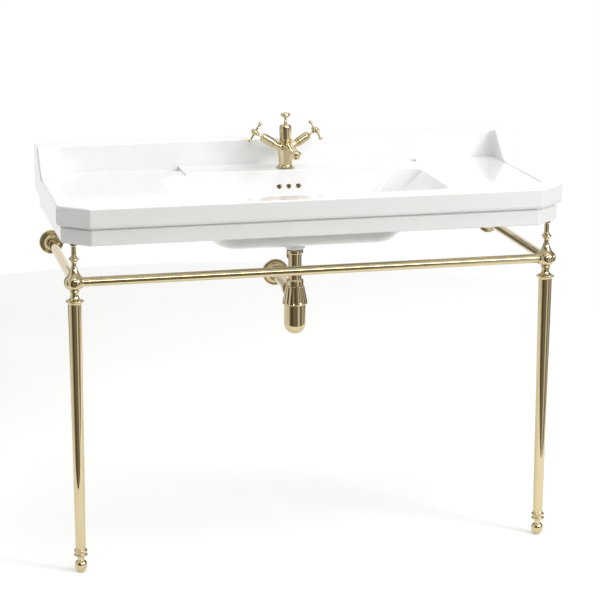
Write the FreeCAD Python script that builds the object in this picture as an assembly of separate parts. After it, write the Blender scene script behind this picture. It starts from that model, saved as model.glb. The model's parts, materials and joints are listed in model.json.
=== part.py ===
import FreeCAD, Part
import math
import os

# Console basin of glazed ceramic on a polished brass stand with two turned front legs.
# Millimetres, Z up, X to the user's right, the user at -Y, the wall face at y = +basin_depth / 2.
# Origin: on the floor, below the middle of the whole object's box.

# Basin, outside
basin_width = 1200.0
basin_depth = 488.0
deck_height = 876.0
fascia_height = 88.0
corner_cut_x = 68.0
corner_cut_y = 57.0
corner_round = 10.0
top_edge_round = 4.0
upper_band_height = 48.5
upper_band_round = 9.0
groove_height = 4.5
groove_inset = 14.0
lower_band_inset = 10.0
lower_band_round = 3.0

# Basin, walls
fascia_wall = 18.0
back_wall = 20.0
deck_wall = 14.0
bowl_wall = 12.0
corner_pad = 12.0

# Basin, upstand, side wings and side rims
upstand_rise = 68.0
upstand_wall = 44.0
rim_width = 46.0
rim_rise = 3.0
rim_end_gap = 54.0
rim_front_gap = 94.0
wing_flat = 63.0
wing_run = 73.0
wing_crest_round = 16.0
wing_foot_round = 45.0
upstand_corner_round = 14.0
upstand_edge_round = 5.0

# Basin, bowl
bowl_length = 650.0
bowl_front_margin = 54.0
bowl_width = 288.0
bowl_depth = 127.0
bowl_end_slope = 118.0
bowl_front_slope = 62.0
bowl_back_slope = 26.0
bowl_front_round = 30.0
bowl_back_round = 62.0
bowl_floor_round = 50.0
bowl_bottom_round = 36.0
bowl_edge_round = 6.0
floor_fall = 4.0
floor_fall_reach = 105.0

# Basin, tap ledge, soap dishes, overflow, holes
ledge_length = 506.0
ledge_rise = 5.0
ledge_round = 2.0
dish_length = 96.0
dish_width = 37.0
dish_depth = 6.0
dish_round = 18.0
overflow_drop = 34.0
overflow_hole = 10.0
overflow_pitch = 24.0
overflow_wall = 5.0
overflow_gap = 8.0
overflow_outer_wall = 6.0
overflow_width = 64.0
outlet_boss = 48.0
outlet_boss_drop = 49.0
outlet_boss_round = 5.0
outlet_boss_straight = 10.0
tap_hole = 35.0
wall_hole = 14.0
wall_hole_spacing = 280.0
wall_hole_drop = 50.0

# Waste, at the middle of the bowl floor
waste_setback = 73.0
waste_tube = 35.0
waste_tube_bore = 31.0
waste_hole_gap = 0.2
waste_flange = 62.0
waste_flange_thick = 2.5
waste_tube_drop = 11.0
washer_thick = 1.5
backnut = 40.5
backnut_thick = 9.0
tail_tube = 32.0
tail_wall = 1.5
tail_length = 73.5
port_boss = 20.0
port_bore = 13.0
port_length = 38.0
plug_cap = 46.0
plug_thick = 3.5
plug_stem = 8.0
guide_gap = 0.4

# Pop-up linkage
knob_lift = 20.0
pivot_ball = 12.0
pivot_rod = 5.0
pivot_inner_arm = 30.0
strap_from_rod = 4.5
pivot_drop = 24.0
rod_bend = 20.0
rod_bend_at = 18.0
strap_end = 7.0
clamp_rise = 37.0
clamp_height = 12.0
strap_width = 13.0
strap_thick = 2.0
strap_hole = 8.0
lift_rod = 4.4
slide_gap = 0.05
seat_gap = 0.3

# Trap
trap_nut = 42.0
trap_nut_height = 17.0
trap_neck = 38.0
trap_neck_height = 11.0
tail_in_neck = 5.0
head_top = 45.0
head_foot = 61.5
head_height = 46.0
head_wall = 4.5
head_flutes = 12
flute_depth = 1.3
flute_radius = 7.0
shoulder = 3.0
bottle = 53.5
bottle_wall = 1.6
bottle_body = 75.5
bottle_neck = 47.0
bottle_neck_height = 9.0
dip_tube = 29.0
dip_wall = 1.2
dip_length = 88.0
outlet_drop = 18.0
outlet_socket = 34.0
outlet_bore = 26.0
outlet_nut = 44.0
outlet_nut_length = 17.0
outlet_reach = 44.0
waste_rosette = 68.0
waste_rosette_depth = 16.0

# Tap
tap_setback = 32.0
tap_seal_thick = 1.0
tap_foot = 42.6
tap_waist = 33.0
tap_shoulder = 38.0
tap_body_height = 69.0
arm_angle = 32.0
arm_rise = 41.0
arm_root = 24.0
arm_tip = 17.0
valve_start = 38.5
valve_length = 30.5
valve_diameter = 22.0
spindle = 6.0
hub_distance = 89.0
hub_diameter = 13.5
hub_length = 12.0
cross_span = 58.0
cross_ball = 9.2
cross_arm = 5.6
index_cap = 10.0
spout_reach = 112.0
spout_rise = 53.0
spout_width = 25.0
spout_height = 15.0
nozzle = 18.0
nozzle_drop = 9.0
dome = 29.0
dome_height = 37.0
dome_neck_ball = 8.0
dome_neck_height = 9.0
knob = 23.0
knob_height = 15.0
knob_clearance = 4.5
stud = 8.0
stud_length = 62.0
stud_offset = 10.5
stud_depth = 9.0
tail_pipe = 10.0
tail_offset = 9.5
tail_end = 15.0
tail_end_length = 30.0
tail_spread = 42.0
tail_drop = 190.0

# Stand
leg_side_inset = 36.5
leg_front_inset = 54.0
rail_drop = 178.5
rail = 22.0
rail_wall = 1.4
rail_socket_end = 20.5
rail_centre_gap = 14.0
rail_fit = 0.1
fitting_ball = 42.6
fitting_cap = 29.0
fitting_cap_reach = 22.8
post = 11.0
post_bead = 23.4
post_bead_rise = 17.0
post_flange = 15.0
post_flange_height = 5.0
pad_thick = 2.0
fitting_up = 37.0
fitting_down = 24.0
ferrule = 42.0
ferrule_height = 26.5
leg_top = 32.0
leg_bottom = 24.0
leg_wall = 1.5
ring = 31.5
ring_height = 22.0
foot_ball = 30.0
foot_height = 38.0
foot_face = 11.0
wall_plate = 46.0
wall_plate_thick = 4.0
plate_screw = 5.0
plate_screw_spacing = 32.0
rosette = 60.0
rosette_depth = 19.0

# Places that follow from the sizes above
back_y = basin_depth / 2
front_y = -basin_depth / 2
under_z = deck_height - fascia_height
groove_top_z = deck_height - upper_band_height
groove_bottom_z = groove_top_z - groove_height
rim_z = deck_height + rim_rise
upstand_z = deck_height + upstand_rise
upstand_y = back_y - upstand_wall
rim_x = basin_width / 2 - rim_width
bowl_front_y = front_y + bowl_front_margin
bowl_back_y = bowl_front_y + bowl_width
bowl_floor_z = deck_height - bowl_depth
tap_back = bowl_back_y + tap_setback
waste_back = bowl_back_y - waste_setback
ledge_z = deck_height + ledge_rise
flange_seat_z = bowl_floor_z - floor_fall - waste_flange_thick
boss_z = bowl_floor_z - outlet_boss_drop
nut_top_z = boss_z - washer_thick
waste_end_z = boss_z - waste_tube_drop
tail_end_z = waste_end_z - tail_length
pivot_z = boss_z - pivot_drop
pivot_y = waste_back + pivot_inner_arm
strap_y = tap_back + strap_from_rod
outer_arm = strap_y - pivot_y
outer_lift = rod_bend_at + (outer_arm - rod_bend_at) / math.cos(math.radians(rod_bend)) ** 2
rest_tilt = math.degrees(math.atan(knob_lift / 2 / outer_lift))
strap_rise = (outer_arm - rod_bend_at) * math.tan(math.radians(rod_bend - rest_tilt))
strap_hole_z = pivot_z - rod_bend_at * math.tan(math.radians(rest_tilt)) + strap_rise
plug_travel = 2 * pivot_inner_arm * math.tan(math.radians(rest_tilt))
head_top_z = tail_end_z + tail_in_neck - trap_neck_height
head_foot_z = head_top_z - head_height
outlet_z = head_top_z - outlet_drop
tap_z = ledge_z + tap_seal_thick
arm_z = tap_z + arm_rise
spout_z = tap_z + spout_rise
dome_z = tap_z + tap_body_height
dome_top_z = dome_z + dome_height + dome_neck_height
leg_x = basin_width / 2 - leg_side_inset
leg_y = front_y + leg_front_inset
rail_height = deck_height - rail_drop
fitting_top_z = rail_height + fitting_up
fitting_bottom_z = rail_height - fitting_down
ferrule_z = fitting_bottom_z - ferrule_height
leg_bottom_z = foot_height + ring_height


def vec(x, y, z):
    return FreeCAD.Vector(x, y, z)


def turned(outline):
    """Solid of revolution about Z. An entry is a point (r, z) reached by a straight line, or a
    pair (middle point, end point) reached by an arc. The outline closes by itself."""
    first = vec(outline[0][0], 0, outline[0][1])
    here = first
    edges = []
    for entry in outline[1:]:
        if isinstance(entry[0], tuple):
            middle, end = [vec(r, 0, z) for r, z in entry]
            edges.append(Part.Arc(here, middle, end).toShape())
        else:
            end = vec(entry[0], 0, entry[1])
            edges.append(Part.makeLine(here, end))
        here = end
    edges.append(Part.makeLine(here, first))
    face = Part.Face(Part.Wire(edges))
    return face.revolve(vec(0, 0, 0), vec(0, 0, 1), 360)


def placed(shape, base, direction=(0, 0, 1)):
    """The shape with its origin moved to base and its Z turned to direction."""
    moved = shape.copy()
    turn = FreeCAD.Rotation(vec(0, 0, 1), vec(*direction))
    moved.Placement = FreeCAD.Placement(vec(*base), turn).multiply(moved.Placement)
    return moved


def cylinder(diameter, length, base, direction=(0, 0, 1)):
    return Part.makeCylinder(diameter / 2, length, vec(*base), vec(*direction))


def tube(diameter, bore, length, base, direction=(0, 0, 1)):
    return cylinder(diameter, length, base, direction).cut(cylinder(bore, length, base, direction))


def block(x0, x1, y0, y1, z0, z1):
    return Part.makeBox(x1 - x0, y1 - y0, z1 - z0, vec(x0, y0, z0))


def fused(shapes):
    return shapes[0].fuse(shapes[1:]).removeSplitter()


def rounded_wire(points, radii, closed=True):
    """Wire through the points, each corner rounded by its radius; an open wire keeps its ends."""
    count = len(points)
    turns = []
    for i in range(count):
        p = points[i]
        if radii[i] == 0:
            turns.append((p, p, p))
            continue
        back = (points[i - 1] - p).normalize()
        ahead = (points[(i + 1) % count] - p).normalize()
        half = back.getAngle(ahead) / 2
        reach = radii[i] / math.tan(half)
        inward = (back + ahead).normalize()
        middle = p + inward * (radii[i] / math.sin(half) - radii[i])
        turns.append((p + back * reach, middle, p + ahead * reach))
    edges = []
    for i in range(count):
        if radii[i] > 0:
            edges.append(Part.Arc(*turns[i]).toShape())
        start, end = turns[i][2], turns[(i + 1) % count][0]
        if (closed or i < count - 1) and (end - start).Length > 1e-6:
            edges.append(Part.makeLine(start, end))
    return Part.Wire(edges)


def prism(corners, radii, z0, z1):
    """Upright prism on a plan outline."""
    wire = rounded_wire([vec(x, y, z0) for x, y in corners], radii)
    return Part.Face(wire).extrude(vec(0, 0, z1 - z0))


def side_prism(corners, radii, x0, x1):
    """Prism along X on an outline given as (y, z)."""
    wire = rounded_wire([vec(x0, y, z) for y, z in corners], radii)
    return Part.Face(wire).extrude(vec(x1 - x0, 0, 0))


def level_edges(shape, z, y_limit=None):
    """Edges that lie at height z, and in front of y_limit where one is given."""
    found = []
    for edge in shape.Edges:
        box = edge.BoundBox
        if abs(box.ZMin - z) > 1e-4 or abs(box.ZMax - z) > 1e-4:
            continue
        if y_limit is None or box.YMax < y_limit or box.YMin < y_limit - 1.0:
            found.append(edge)
    return found


def export(name, shape):
    solid = shape.removeSplitter() if len(shape.Solids) == 1 else shape
    print(name, len(solid.Solids), "solids", round(solid.Volume, 1), "mm3", solid.isValid())
    solid.exportStep("parts/" + name + ".step")


def both_sides(shape):
    return shape.mirror(vec(0, 0, 0), vec(1, 0, 0))


# ---- basin ----


def basin_plan(inset, back_inset=0.0, corner_extra=0.0):
    """Plan outline: a rectangle with its two front corners cut off, drawn inset from the fascia."""
    half = basin_width / 2 - inset
    front = front_y + inset
    back = back_y - back_inset
    cut_length = math.hypot(corner_cut_x, corner_cut_y)
    reach = corner_cut_y * basin_width / 2 - corner_cut_x * (front_y + corner_cut_y)
    reach -= (inset + corner_extra) * cut_length
    side = (corner_cut_y * half - reach) / corner_cut_x
    nose = (reach + corner_cut_x * front) / corner_cut_y
    return [(-half, back), (-half, side), (-nose, front), (nose, front), (half, side), (half, back)]


def band(inset, z0, z1):
    r = corner_round
    return prism(basin_plan(inset), [0, r, r, r, r, 0], z0, z1)


def basin_bands():
    """The moulded fascia: an upper band, a shadow groove and a lower band set back."""
    upper = band(0, groove_top_z, deck_height)
    upper = upper.makeFillet(upper_band_round, level_edges(upper, groove_top_z, back_y))
    upper = upper.makeFillet(top_edge_round, level_edges(upper, deck_height, back_y))
    groove = band(groove_inset, groove_bottom_z, groove_top_z)
    lower = band(lower_band_inset, under_z, groove_bottom_z)
    lower = lower.makeFillet(lower_band_round, level_edges(lower, under_z, back_y))
    return upper.fuse([groove, lower])


def bowl_section(z, offset):
    """Horizontal section of the bowl at height z, grown outwards by offset."""
    share = (deck_height - z) / bowl_depth
    half = bowl_length / 2 - bowl_end_slope * share + offset
    front = bowl_front_y + bowl_front_slope * share - offset
    back = bowl_back_y - bowl_back_slope * share + offset
    front_round = bowl_front_round + (bowl_floor_round - bowl_front_round) * share + offset
    back_round = bowl_back_round + (bowl_floor_round - bowl_back_round) * share + offset
    corners = [(-half, back), (-half, front), (half, front), (half, back)]
    radii = [back_round, front_round, front_round, back_round]
    return rounded_wire([vec(x, y, z) for x, y in corners], radii)


def bowl_shape(top_z, bottom_z, offset, bottom_round):
    shape = Part.makeLoft([bowl_section(top_z, offset), bowl_section(bottom_z, offset)], True, True)
    return shape.makeFillet(bottom_round, level_edges(shape, bottom_z))


def bowl_hollow():
    hollow = bowl_shape(deck_height + 2.0, bowl_floor_z, 0.0, bowl_bottom_round)
    fall = Part.makeCone(waste_flange / 2, floor_fall_reach, floor_fall,
                         vec(0, waste_back, bowl_floor_z - floor_fall))
    return hollow.fuse(fall)


def overflow_duct(width, near, far):
    """Body of the duct between two offsets from the bowl's back wall and from the waste's seat."""
    lean = bowl_back_slope / bowl_depth
    top_z = deck_height - overflow_drop + overflow_hole / 2 + near / 2
    foot_y = bowl_back_y - bowl_back_slope
    start_y = bowl_back_y - (deck_height - top_z) * lean
    corners = [
        (start_y + near, top_z),
        (foot_y + near, flange_seat_z - near),
        (waste_back, flange_seat_z - near),
        (waste_back, flange_seat_z - far),
        (foot_y + far, flange_seat_z - far),
        (start_y + far, top_z),
    ]
    return side_prism(corners, [0] * 6, -width / 2, width / 2)


def overflow_axis():
    """Direction square to the bowl's back wall, pointing into the bowl."""
    lean = math.atan2(bowl_back_slope, bowl_depth)
    return (0, -math.cos(lean), math.sin(lean))


def overflow_places():
    z = deck_height - overflow_drop
    y = bowl_back_y - overflow_drop * bowl_back_slope / bowl_depth
    return [(i * overflow_pitch, y, z) for i in (-1, 0, 1)]


def upstand_and_wings():
    """Back upstand with its two side wings, which sweep down into the raised side rims."""
    base_z = deck_height - deck_wall / 2
    profile = [
        (back_y, base_z),
        (back_y, upstand_z),
        (back_y - wing_flat, upstand_z),
        (back_y - wing_flat - wing_run, rim_z),
        (front_y + rim_front_gap, rim_z),
        (front_y + rim_end_gap, deck_height - 0.5),
        (front_y + rim_end_gap, base_z),
    ]
    radii = [0, 0, wing_crest_round, wing_foot_round, 0, 0, 0]
    half = basin_width / 2
    whole = side_prism(profile, radii, -half, half)
    r = upstand_corner_round
    room = [(-rim_x, upstand_y), (-rim_x, front_y), (rim_x, front_y), (rim_x, upstand_y)]
    whole = whole.cut(prism(room, [r, 0, 0, r], base_z - 1, upstand_z + 1))
    edges = []
    for edge in whole.Edges:
        box = edge.BoundBox
        if box.ZMin > rim_z - 0.01 and box.YMin < back_y - 1 and box.ZMax - box.ZMin < 90:
            runs_along = edge.Length > box.XLength + 1e-3 or abs(box.YMax - upstand_y) < 1e-3
            if runs_along and not (box.XLength > 100 and abs(box.YMax - upstand_y) > 1e-3):
                edges.append(edge)
    return whole.makeFillet(upstand_edge_round, edges)


def tap_ledge():
    half = ledge_length / 2
    ledge = block(-half, half, bowl_back_y, upstand_y + 1, deck_height - deck_wall + 2, ledge_z)
    return ledge.makeFillet(ledge_round, level_edges(ledge, ledge_z, upstand_y))


def soap_dish():
    """Shallow recess between the tap ledge and the open deck, on the right."""
    x0 = ledge_length / 2
    y0 = upstand_y - dish_width
    corners = [(x0, upstand_y), (x0, y0), (x0 + dish_length, y0), (x0 + dish_length, upstand_y)]
    return prism(corners, [0, 3, dish_round, 3], deck_height - dish_depth, deck_height + 1)


def make_basin():
    belly = bowl_shape(deck_height - 2, bowl_floor_z - bowl_wall, bowl_wall, bowl_bottom_round + bowl_wall)
    duct_far = overflow_wall + overflow_gap
    lump = overflow_duct(overflow_width + 2 * overflow_outer_wall, 0, duct_far + overflow_outer_wall)
    boss = cylinder(outlet_boss, bowl_floor_z - boss_z, (0, waste_back, boss_z))
    boss = boss.makeFillet(outlet_boss_round, level_edges(boss, boss_z))
    straight = outlet_boss_straight
    swell = Part.makeCone(outlet_boss / 2, outlet_boss, bowl_floor_z - boss_z - straight,
                          vec(0, waste_back, boss_z + straight))
    under = belly.fuse([lump, boss, swell])
    inner = basin_plan(lower_band_inset + fascia_wall, back_wall, corner_pad)
    hollow = prism(inner, [14] * 6, under_z - 1, deck_height - deck_wall).cut(under)
    body = basin_bands().fuse(under).cut([hollow, bowl_hollow()])
    rim = [e for e in level_edges(body, deck_height) if abs(e.BoundBox.XMax) < bowl_length / 2 + 1
           and abs(e.BoundBox.XMin) < bowl_length / 2 + 1 and e.BoundBox.YMin > bowl_front_y - 1]
    body = body.makeFillet(bowl_edge_round, rim)
    body = body.fuse([upstand_and_wings(), tap_ledge()])
    cuts = [soap_dish(), both_sides(soap_dish())]
    cuts.append(overflow_duct(overflow_width, overflow_wall, duct_far))
    axis = overflow_axis()
    for place in overflow_places():
        base = (place[0], place[1] - axis[1] * -4, place[2] + axis[2] * 4)
        cuts.append(cylinder(overflow_hole, 4 + overflow_wall + 3, base, [-a for a in axis]))
    hole = waste_tube + 2 * waste_hole_gap
    cuts.append(cylinder(hole, 60, (0, waste_back, boss_z - 10)))
    cuts.append(cylinder(waste_flange + 2 * waste_hole_gap, floor_fall + 4, (0, waste_back, flange_seat_z)))
    cuts.append(cylinder(tap_hole, ledge_z - under_z, (0, tap_back, under_z + 20)))
    for side in (-1, 1):
        start = (side * wall_hole_spacing / 2, back_y - back_wall - 5, deck_height - wall_hole_drop)
        cuts.append(cylinder(wall_hole, back_wall + 10, start, (0, 1, 0)))
    return body.cut(cuts).removeSplitter()


def make_overflow_rings():
    outer = overflow_hole / 2 - slide_gap
    profile = [(3.4, -5), (outer, -5), (outer, 0), (6.2, 0), (6.2, 0.6), (5.2, 1.2), (3.9, 1.2), (3.4, 0.6)]
    return Part.makeCompound([placed(turned(profile), p, overflow_axis()) for p in overflow_places()])


# ---- waste and pop-up linkage ----


def make_waste_body():
    r_in, r_out = waste_tube_bore / 2, waste_tube / 2
    seat, lip = flange_seat_z, flange_seat_z + waste_flange_thick
    rim = waste_flange / 2
    profile = [(r_in, waste_end_z), (r_out, waste_end_z), (r_out, seat), (rim, seat), (rim, lip - 1.0),
               (rim - 1.5, lip), (plug_cap / 2 - 2, lip), (r_in, lip - 1.5)]
    body = placed(turned(profile), (0, waste_back, 0))
    slot_top = seat - overflow_wall - 1
    slot_bottom = seat - overflow_wall - overflow_gap + 1
    return body.cut(block(-8, 8, waste_back, waste_back + r_out + 1, slot_bottom, slot_top))


def make_waste_washer():
    return tube(backnut - 1, waste_tube + 2 * slide_gap, washer_thick, (0, waste_back, nut_top_z))


def make_waste_backnut():
    r_in, r_out, h = waste_tube / 2 + slide_gap, backnut / 2, backnut_thick
    profile = [(r_in, 0), (r_out - 1.5, 0), (r_out, 1.5), (r_out, h - 1), (r_out - 1, h), (r_in, h)]
    return placed(turned(profile), (0, waste_back, nut_top_z - h))


def make_waste_tail():
    tail = cylinder(tail_tube, tail_length, (0, waste_back, tail_end_z))
    port = cylinder(port_boss, port_length, (0, waste_back, pivot_z), (0, 1, 0))
    bore = cylinder(tail_tube - 2 * tail_wall, tail_length, (0, waste_back, tail_end_z))
    side_bore = cylinder(port_bore, port_length, (0, waste_back, pivot_z), (0, 1, 0))
    return tail.fuse(port).cut([bore, side_bore])


def make_pivot_nut():
    """Cap nut that keeps the pivot ball in its port."""
    r_in, r_out = port_boss / 2 + slide_gap, port_boss / 2 + 2.5
    mouth = pivot_rod / 2 + 2.7
    profile = [(r_in, -6), (r_out, -6), (r_out, 2.6), (r_out - 1.5, 4.2), (mouth + 1, 4.2), (mouth, 0.2), (r_in, 0.2)]
    return placed(turned(profile), (0, waste_back + port_length, pivot_z), (0, 1, 0))


def make_pivot_rod():
    """Lever through the pivot ball; its outer end is bent up to stay behind the bowl."""
    start = pivot_inner_arm + 3.0
    straight = cylinder(pivot_rod, start + rod_bend_at, (0, pivot_y - start, pivot_z), (0, 1, 0))
    ball = Part.makeSphere(pivot_ball / 2, vec(0, pivot_y, pivot_z))
    bend = math.radians(rod_bend)
    elbow = (0, pivot_y + rod_bend_at, pivot_z)
    outer = cylinder(pivot_rod, (outer_arm - rod_bend_at) / math.cos(bend) + 10.0, elbow,
                     (0, math.cos(bend), math.sin(bend)))
    lever = straight.fuse([ball, outer, Part.makeSphere(pivot_rod / 2, vec(*elbow))])
    lever.rotate(vec(0, pivot_y, pivot_z), vec(1, 0, 0), -rest_tilt)
    return lever


def make_plug():
    """Domed plug, open at rest, whose finned stem stands on the pivot rod's inner end."""
    lean = math.radians(rest_tilt)
    foot = pivot_z + (pivot_inner_arm + plug_stem / 2) * math.tan(lean) + pivot_rod / 2 / math.cos(lean) + seat_gap
    cap = flange_seat_z + waste_flange_thick + seat_gap + plug_travel
    r = plug_cap / 2
    stem = plug_stem / 2
    top = cap + plug_thick
    profile = [(0, foot), (stem - 1, foot), (stem, foot + 1), (stem, cap - 3), (stem + 3, cap), (r, cap),
               (r, cap + 1.2), ((r * 0.55, top - 0.6), (1, top)), (0, top)]
    plug = placed(turned(profile), (0, waste_back, 0))
    fin = waste_tube_bore / 2 - guide_gap
    fin_z = cap - plug_travel - 14
    fins = [block(-fin, fin, waste_back - 1, waste_back + 1, fin_z, fin_z + 12),
            block(-1, 1, waste_back - fin, waste_back + fin, fin_z, fin_z + 12)]
    return fused([plug] + fins)


def make_lift_rod():
    top = dome_top_z + knob_clearance + 5
    bottom = strap_hole_z + clamp_rise - 5
    return cylinder(lift_rod, top - bottom, (0, tap_back, bottom))


def make_lift_knob():
    r, h = knob / 2, knob_height
    profile = [(0, 0), (3.0, 0), (3.6, 2.2), ((r - 2.9, h - 10.6), (r, h - 7)), ((r - 0.5, h - 3.4), (r - 3.6, h - 1.2)),
               ((r - 7, h - 0.2), (0.5, h)), (0, h)]
    body = placed(turned(profile), (0, tap_back, dome_top_z + knob_clearance))
    hole = cylinder(lift_rod + 2 * slide_gap, 5, (0, tap_back, dome_top_z + knob_clearance))
    return body.cut(hole)


def make_link_strap():
    half = strap_width / 2
    bottom, top = strap_hole_z - strap_end, strap_hole_z + clamp_rise + clamp_height + 5
    face = strap_y - strap_thick / 2
    strap = block(-half, half, face, face + strap_thick, bottom, top)
    holes = [cylinder(strap_hole, strap_thick, (0, face, strap_hole_z + lift), (0, 1, 0)) for lift in (0, 12, 24)]
    return strap.cut(holes)


def make_rod_clamp():
    """Clamp block that joins the lift rod to the strap, with its thumb screw."""
    low = strap_hole_z + clamp_rise
    high = low + clamp_height
    body = block(-7.5, 7.5, tap_back - 6, strap_y + 4, low, high)
    body = body.makeFillet(1.5, [e for e in body.Edges if e.BoundBox.ZLength > clamp_height - 1])
    middle = (low + high) / 2
    screw = cylinder(6, 8, (0, tap_back - 14, middle), (0, 1, 0))
    head = cylinder(11, 3, (0, tap_back - 15, middle), (0, 1, 0))
    gap = slide_gap
    slot = block(-strap_width / 2 - gap, strap_width / 2 + gap, strap_y - strap_thick / 2 - gap,
                 strap_y + strap_thick / 2 + gap, low, high)
    rod = cylinder(lift_rod + 2 * gap, high - low, (0, tap_back, low))
    return body.fuse([screw, head]).cut([slot, rod])


# ---- trap ----


def make_trap_inlet_nut():
    low, mid = trap_neck / 2 + slide_gap, tail_tube / 2 + slide_gap
    r, h, step = trap_nut / 2, trap_nut_height, trap_neck_height
    profile = [(low, 0), (r - 1, 0), (r, 1), (r, h - 4), (r - 1.5, h - 1.5), (r - 3, h), (mid, h), (mid, step), (low, step)]
    return placed(turned(profile), (0, waste_back, head_top_z))


def make_trap_head():
    """Fluted cone with the inlet neck above and the outlet socket behind."""
    r_top, r_foot = head_top / 2, head_foot / 2
    cone = placed(turned([(0, 0), (r_foot - 3, 0), ((r_foot - 0.6, 1), (r_foot, 3.5)), (r_top, head_height),
                          (0, head_height)]), (0, waste_back, head_foot_z))
    slope = math.atan2(r_foot - r_top, head_height - 3.5)
    away = flute_radius - flute_depth
    groove = cylinder(2 * flute_radius, head_height * 1.3,
                      (r_foot + away * math.cos(slope) + 3 * math.sin(slope), 0, 3.5 - 3 * math.cos(slope)
                       + away * math.sin(slope)),
                      (-math.sin(slope), 0, math.cos(slope)))
    cuts = []
    for i in range(head_flutes):
        copy = groove.copy()
        copy.rotate(vec(0, 0, 0), vec(0, 0, 1), (i + 0.5) * 360 / head_flutes)
        cuts.append(placed(copy, (0, waste_back, head_foot_z)))
    cone = cone.cut(cuts)
    neck = cylinder(trap_neck, trap_neck_height, (0, waste_back, head_top_z))
    socket = cylinder(outlet_socket, outlet_reach, (0, waste_back, outlet_z), (0, 1, 0))
    body = cone.fuse([neck, socket])
    neck_bore = tail_tube / 2 + slide_gap
    seat = trap_neck_height - tail_in_neck - shoulder
    inner_top, inner_foot = r_top - head_wall, bottle_neck / 2 + slide_gap
    throat = dip_tube / 2 + slide_gap
    hollow = turned([(0, -1), (inner_foot, -1), (inner_foot, bottle_neck_height + 1), (inner_top, head_height - 2),
                     (throat, head_height - 2), (throat, head_height + seat), (neck_bore, head_height + seat),
                     (neck_bore, head_height + trap_neck_height + 1), (0, head_height + trap_neck_height + 1)])
    outlet = cylinder(outlet_bore, outlet_reach + 1, (0, waste_back, outlet_z), (0, 1, 0))
    return body.cut([placed(hollow, (0, waste_back, head_foot_z)), outlet])


def make_trap_dip_tube():
    flange_z = head_top_z + trap_neck_height - tail_in_neck - shoulder
    tip = flange_z - dip_length
    r, r_in = dip_tube / 2, dip_tube / 2 - dip_wall
    collar = tail_tube / 2 - slide_gap
    profile = [(r_in, tip), (r, tip), (r, flange_z), (collar, flange_z), (collar, flange_z + shoulder - 0.3),
               (r_in, flange_z + shoulder - 0.3)]
    return placed(turned(profile), (0, waste_back, 0))


def make_trap_bottle():
    r, wall, neck = bottle / 2, bottle_wall, bottle_neck / 2
    end = -bottle_body
    bend = math.sqrt(0.5)
    inner = r - wall
    profile = [(0, end), ((r * bend, end + r - r * bend), (r, end + r)), (r, 0), (neck, 0), (neck, bottle_neck_height),
               (neck - wall, bottle_neck_height), (neck - wall, -4), (inner, -8), (inner, end + r),
               ((inner * bend, end + r - inner * bend), (0, end + wall))]
    return placed(turned(profile), (0, waste_back, head_foot_z))


def make_trap_outlet_nut():
    big, small = outlet_socket / 2 + slide_gap, tail_tube / 2 + slide_gap
    r, h = outlet_nut / 2, outlet_nut_length
    step = h * 0.45
    profile = [(big, 0), (r - 1, 0), (r, 1), (r, h - 4), (r - 3, h), (small, h), (small, step), (big, step)]
    return placed(turned(profile), (0, waste_back + outlet_reach - step, outlet_z), (0, 1, 0))


def make_trap_outlet_pipe():
    start = waste_back + outlet_reach
    return tube(tail_tube, tail_tube - 2 * tail_wall, back_y - start, (0, start, outlet_z), (0, 1, 0))


def make_waste_rosette():
    r, h, bore = waste_rosette / 2, waste_rosette_depth, tail_tube / 2 + slide_gap
    profile = [(bore, 0), (r, 0), (r, 2.5), (r - 2, 4), (r - 5, 4), (r - 6, 3), (r - 8, 5.5), ((r - 11.5, 8), (r - 14.5, 12.5)),
               (r - 15, h), (bore, h)]
    return placed(turned(profile), (0, back_y, outlet_z), (0, -1, 0))


# ---- tap ----


def arm_direction(side):
    angle = math.radians(arm_angle)
    return (side * math.cos(angle), 0, math.sin(angle))


def along_arm(side, distance):
    direction = arm_direction(side)
    return (direction[0] * distance, tap_back, arm_z + direction[2] * distance)


def make_spout():
    """Flat spout that reaches over the bowl and ends in a round nose above the nozzle."""
    stations = [(5, 0, 25, 20), (45, 0.5, 22, spout_height), (80, 0.2, 24, 13.0), (spout_reach, 0.0, spout_width, 10.0)]
    sections = []
    for reach, rise, width, height in stations:
        ring = Part.Ellipse(vec(0, 0, 0), width / 2, height / 2).toShape()
        wire = Part.Wire(ring)
        wire.Placement = FreeCAD.Placement(vec(0, tap_back - reach, spout_z + rise),
                                           FreeCAD.Rotation(vec(1, 0, 0), 90))
        sections.append(wire)
    neck = Part.makeLoft(sections, True, False)
    r = spout_width / 2
    nose = turned([(0, -5.5), (r - 1, -5.5), (r, -4.0), (r, 1.0), ((r - 2.0, 3.4), (r - 5.5, 4.2)), (0, 4.4)])
    return [neck, placed(nose, (0, tap_back - spout_reach, spout_z))]


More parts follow.
